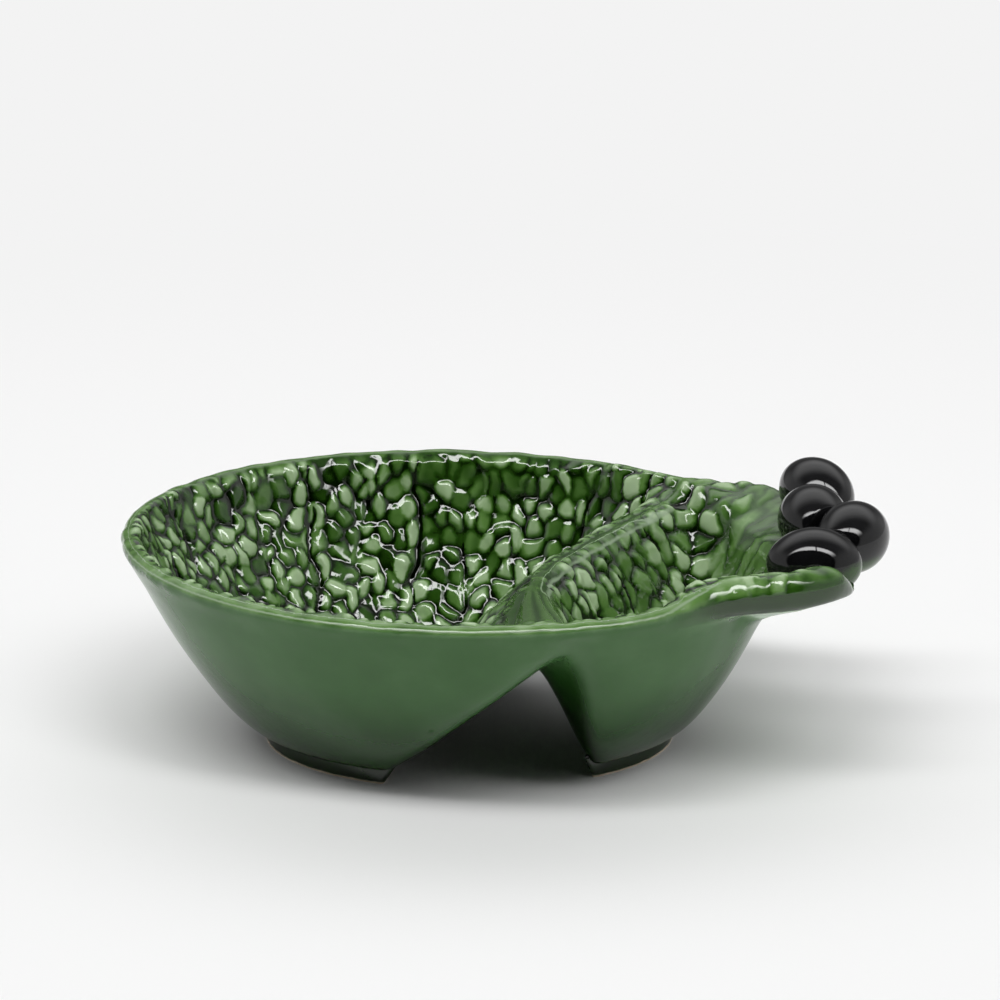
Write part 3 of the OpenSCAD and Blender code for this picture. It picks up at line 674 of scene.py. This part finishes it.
# Olives: four model olives of clay, set on the shelf with slip while the leaf was still soft.
# They are glazed black, and the leaf's green has run up over their bases.
OLIVE_STEP = 0.5
OLIVE_SMOOTHING = 6
BLACK_CLOUD_WIDTH = 5.0
GREEN_TO_BLACK = (53.6, 55.6)
GREEN_WAVER = 3.0
GREEN_RISE = 4.5
OUTER_END = (80.0, 90.0)
FRONT_SIDE = (-24.0, -18.0)
RUN_GREEN = "#2C4A1C"
BLACKS = ((0.3, "#0A0A0B"), (0.7, "#141416"))
DIMPLE_HEIGHT = 1.0

# Black glaze, fired glossy, so that it mirrors the light sharply. Below a wavering line it is green, and the
# line stands higher towards the outer end of the shelf, most of all at the front.
black_glaze, tree = new_material("black_glaze_over_green")
coords = add_node(tree, "ShaderNodeTexCoord")
parts = add_node(tree, "ShaderNodeSeparateXYZ", None, {"Vector": coords.outputs["Object"]})
cloud = add_node(tree, "ShaderNodeTexNoise", None,
                 {"Vector": coords.outputs["Object"], "Scale": 1.0 / (BLACK_CLOUD_WIDTH * MM), "Detail": 5.0})
outer_end = add_node(tree, "ShaderNodeMapRange", None,
                     {"Value": parts.outputs["X"], "From Min": OUTER_END[0] * MM,
                      "From Max": OUTER_END[1] * MM, "To Min": 0.0, "To Max": -GREEN_RISE * MM})
front_share = add_node(tree, "ShaderNodeMapRange", None,
                       {"Value": parts.outputs["Y"], "From Min": FRONT_SIDE[0] * MM,
                        "From Max": FRONT_SIDE[1] * MM, "To Min": 1.0, "To Max": 0.25})
lowered = add_node(tree, "ShaderNodeMath", {"operation": "MULTIPLY_ADD"},
                   {0: outer_end.outputs["Result"], 1: front_share.outputs["Result"], 2: parts.outputs["Z"]})
edge = add_node(tree, "ShaderNodeMath", {"operation": "MULTIPLY_ADD"},
                {0: cloud.outputs["Fac"], 1: GREEN_WAVER * MM, 2: lowered.outputs["Value"]})
black_share = add_node(tree, "ShaderNodeMapRange", None,
                       {"Value": edge.outputs["Value"], "From Min": GREEN_TO_BLACK[0] * MM,
                        "From Max": GREEN_TO_BLACK[1] * MM})
black = add_node(tree, "ShaderNodeValToRGB", None, {"Fac": cloud.outputs["Fac"]}, BLACKS)
colour = add_node(tree, "ShaderNodeMix", {"data_type": "RGBA"},
                  {"Factor": black_share.outputs["Result"], "A": ink(RUN_GREEN), "B": black.outputs["Color"]})
bump = add_node(tree, "ShaderNodeBump", None,
                {"Height": cloud.outputs["Fac"], "Strength": 0.03, "Distance": DIMPLE_HEIGHT * MM})
shader = add_node(tree, "ShaderNodeBsdfPrincipled", None,
                  {"Base Color": colour.outputs["Result"], "Roughness": 0.05, "IOR": 1.5,
                   "Normal": bump.outputs["Normal"]})
add_node(tree, "ShaderNodeOutputMaterial", None, {"Surface": shader.outputs["BSDF"]})
for node in ("olive_front", "olive_inner", "olive_outer", "olive_back"):
    olive = merged_copy(node, node + "_glazed")
    apply_modifier(olive, "REMESH", mode="VOXEL", voxel_size=OLIVE_STEP * MM)
    apply_modifier(olive, "SMOOTH", factor=0.5, iterations=OLIVE_SMOOTHING)
    bpy.ops.object.shade_smooth()
    olive.data.materials.append(black_glaze)
    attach(olive, "root")
    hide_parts(node)


# Floor: a plain pale table top, wide enough to fill the picture.
# It is matt round the dish, where it keeps the shadow, and an even white farther off.
FLOOR_HALF = 4000.0
SHADOW_REACH = (100.0, 600.0)
bpy.ops.object.select_all(action="DESELECT")
bpy.ops.mesh.primitive_plane_add(size=2.0 * FLOOR_HALF * MM, location=(0.0, 0.0, 0.0))
floor = bpy.context.active_object
floor.name = "pale_table"
table_white, tree = new_material("matt_white_table")
coords = add_node(tree, "ShaderNodeTexCoord")
rays = add_node(tree, "ShaderNodeLightPath")
seen = add_node(tree, "ShaderNodeMath", {"operation": "ADD"},
                {0: rays.outputs["Is Camera Ray"], 1: rays.outputs["Is Glossy Ray"]})
seen = add_node(tree, "ShaderNodeMath", {"operation": "ADD", "use_clamp": True},
                {0: seen.outputs["Value"], 1: rays.outputs["Is Transmission Ray"]})
distance = add_node(tree, "ShaderNodeVectorMath", {"operation": "LENGTH"}, {0: coords.outputs["Object"]})
far = add_node(tree, "ShaderNodeMapRange", {"interpolation_type": "SMOOTHSTEP"},
               {"Value": distance.outputs["Value"], "From Min": SHADOW_REACH[0] * MM,
                "From Max": SHADOW_REACH[1] * MM})
lift = add_node(tree, "ShaderNodeMath", {"operation": "MULTIPLY"},
                {0: far.outputs["Result"], 1: seen.outputs["Value"]})
matt = add_node(tree, "ShaderNodeBsdfDiffuse", None, {"Color": ink("#F4F4F4")})
glow = add_node(tree, "ShaderNodeEmission", None, {"Color": ink("#F3F3F3"), "Strength": 1.0})
cover = add_node(tree, "ShaderNodeMixShader", None,
                 {"Fac": lift.outputs["Value"], 1: matt.outputs["BSDF"], 2: glow.outputs["Emission"]})
add_node(tree, "ShaderNodeOutputMaterial", None, {"Surface": cover.outputs["Shader"]})
floor.data.materials.append(table_white)


# Light: a white tent, brighter at its two sides and overhead at the back, with a dark opening at the front
# for the camera. A bright arched window of two panes stands over the opening.
OPENING_SIDE = 0.78
OPENING_MIDDLE = (-0.09, 0.26)
OPENING_RISE = 0.62
OPENING_BLUR = 0.03
WINDOW_SHARE = 1.12
WINDOW_BLUR = 0.02
BAR_PLACE = 0.06
BAR_HALF = 0.022
TENT_STRENGTH = 0.15
SIDE_STRENGTH = 0.40
CEILING_STRENGTH = 1.04
WINDOW_STRENGTH = 11.0
world = bpy.data.worlds.new("pale_tent")
bpy.context.scene.world = world
world.use_nodes = True
tree = world.node_tree
tree.nodes.clear()
coords = add_node(tree, "ShaderNodeTexCoord")
parts = add_node(tree, "ShaderNodeSeparateXYZ", None, {"Vector": coords.outputs["Generated"]})

# How far a direction lies from the middle of the opening, as a share of it, and from the window's bar.
from_middle = add_node(tree, "ShaderNodeVectorMath", {"operation": "SUBTRACT"},
                       {0: coords.outputs["Generated"], 1: (OPENING_MIDDLE[0], 0.0, OPENING_MIDDLE[1])})
in_shares = add_node(tree, "ShaderNodeVectorMath", {"operation": "MULTIPLY"},
                     {0: from_middle.outputs["Vector"], 1: (1.0 / OPENING_SIDE, 0.0, 1.0 / OPENING_RISE)})
arch = add_node(tree, "ShaderNodeVectorMath", {"operation": "LENGTH"}, {0: in_shares.outputs["Vector"]})
sideways = add_node(tree, "ShaderNodeMath", {"operation": "ABSOLUTE"}, {0: parts.outputs["X"]})
from_bar = add_node(tree, "ShaderNodeMath", {"operation": "SUBTRACT"}, {0: parts.outputs["X"], 1: BAR_PLACE})
bar_gap = add_node(tree, "ShaderNodeMath", {"operation": "ABSOLUTE"}, {0: from_bar.outputs["Value"]})

# Each shade is a smooth step along one of these: where it starts and ends, and its value before and after.
tent_steps = {
    "at_front": (parts.outputs["Y"], -0.30, -0.20, 1.0, 0.0),
    "in_arch": (arch.outputs["Value"], 1.0 - OPENING_BLUR, 1.0 + OPENING_BLUR, 1.0, 0.0),
    "past_arch": (arch.outputs["Value"], 1.0 - WINDOW_BLUR, 1.0 + WINDOW_BLUR, 0.0, 1.0),
    "in_window": (arch.outputs["Value"], WINDOW_SHARE - WINDOW_BLUR, WINDOW_SHARE + WINDOW_BLUR, 1.0, 0.0),
    "high": (parts.outputs["Z"], 0.50, 0.80, 0.0, 1.0),
    "off_bar": (bar_gap.outputs["Value"], BAR_HALF * 0.7, BAR_HALF * 1.3, 0.0, 1.0),
    "at_back": (parts.outputs["Y"], 0.0, 0.5, 0.0, 1.0),
    "overhead": (parts.outputs["Z"], 0.35, 0.7, 0.0, CEILING_STRENGTH),
    "at_sides": (sideways.outputs["Value"], 0.45, 0.85, 0.0, 1.0),
    "low": (parts.outputs["Z"], 0.40, 0.75, SIDE_STRENGTH, 0.0),
}
shades = {}
for name, (measure, start, end, before, after) in tent_steps.items():
    shade = add_node(tree, "ShaderNodeMapRange", {"interpolation_type": "SMOOTHSTEP"},
                     {"Value": measure, "From Min": start, "From Max": end,
                      "To Min": before, "To Max": after})
    shades[name] = shade.outputs["Result"]

# The areas of the tent are where some of the shades meet.
tent_areas = {
    "opening": ("at_front", "in_arch"),
    "window": ("at_front", "past_arch", "in_window", "high", "off_bar"),
    "ceiling": ("at_back", "overhead"),
    "sides": ("at_sides", "low"),
}
areas = {}
for name, (first_shade, *more_shades) in tent_areas.items():
    areas[name] = shades[first_shade]
    for more in more_shades:
        product = add_node(tree, "ShaderNodeMath", {"operation": "MULTIPLY"},
                           {0: areas[name], 1: shades[more]})
        areas[name] = product.outputs["Value"]
closed = add_node(tree, "ShaderNodeMath", {"operation": "SUBTRACT"}, {0: 1.0, 1: areas["opening"]})
bright = add_node(tree, "ShaderNodeMath", {"operation": "ADD"}, {0: areas["ceiling"], 1: areas["sides"]})
cloth = add_node(tree, "ShaderNodeMath", {"operation": "ADD"}, {0: bright.outputs["Value"], 1: TENT_STRENGTH})
tent = add_node(tree, "ShaderNodeMath", {"operation": "MULTIPLY"},
                {0: cloth.outputs["Value"], 1: closed.outputs["Value"]})
strength = add_node(tree, "ShaderNodeMath", {"operation": "MULTIPLY_ADD"},
                    {0: areas["window"], 1: WINDOW_STRENGTH, 2: tent.outputs["Value"]})
sky = add_node(tree, "ShaderNodeBackground", None,
               {"Color": ink("#FFFFFF"), "Strength": strength.outputs["Value"]})
add_node(tree, "ShaderNodeOutputWorld", None, {"Surface": sky.outputs["Background"]})


# Camera: a long lens at the front of the table, looking down on the dish.
CAMERA_PLACE = (0.5, -831.3, 335.8)
CAMERA_LOOK = (-0.00144, 0.95103, -0.30909)
SENSOR_WIDTH = 36.0
LENS_LENGTH = 118.8
camera_data = bpy.data.cameras.new("camera")
camera_data.sensor_width = SENSOR_WIDTH
camera_data.lens = LENS_LENGTH
camera = bpy.data.objects.new("camera", camera_data)
camera.location = Vector(CAMERA_PLACE) * MM
camera.rotation_euler = Vector(CAMERA_LOOK).to_track_quat("-Z", "Y").to_euler()
bpy.context.scene.collection.objects.link(camera)
bpy.context.scene.camera = camera
bpy.context.scene.view_settings.view_transform = "Standard"
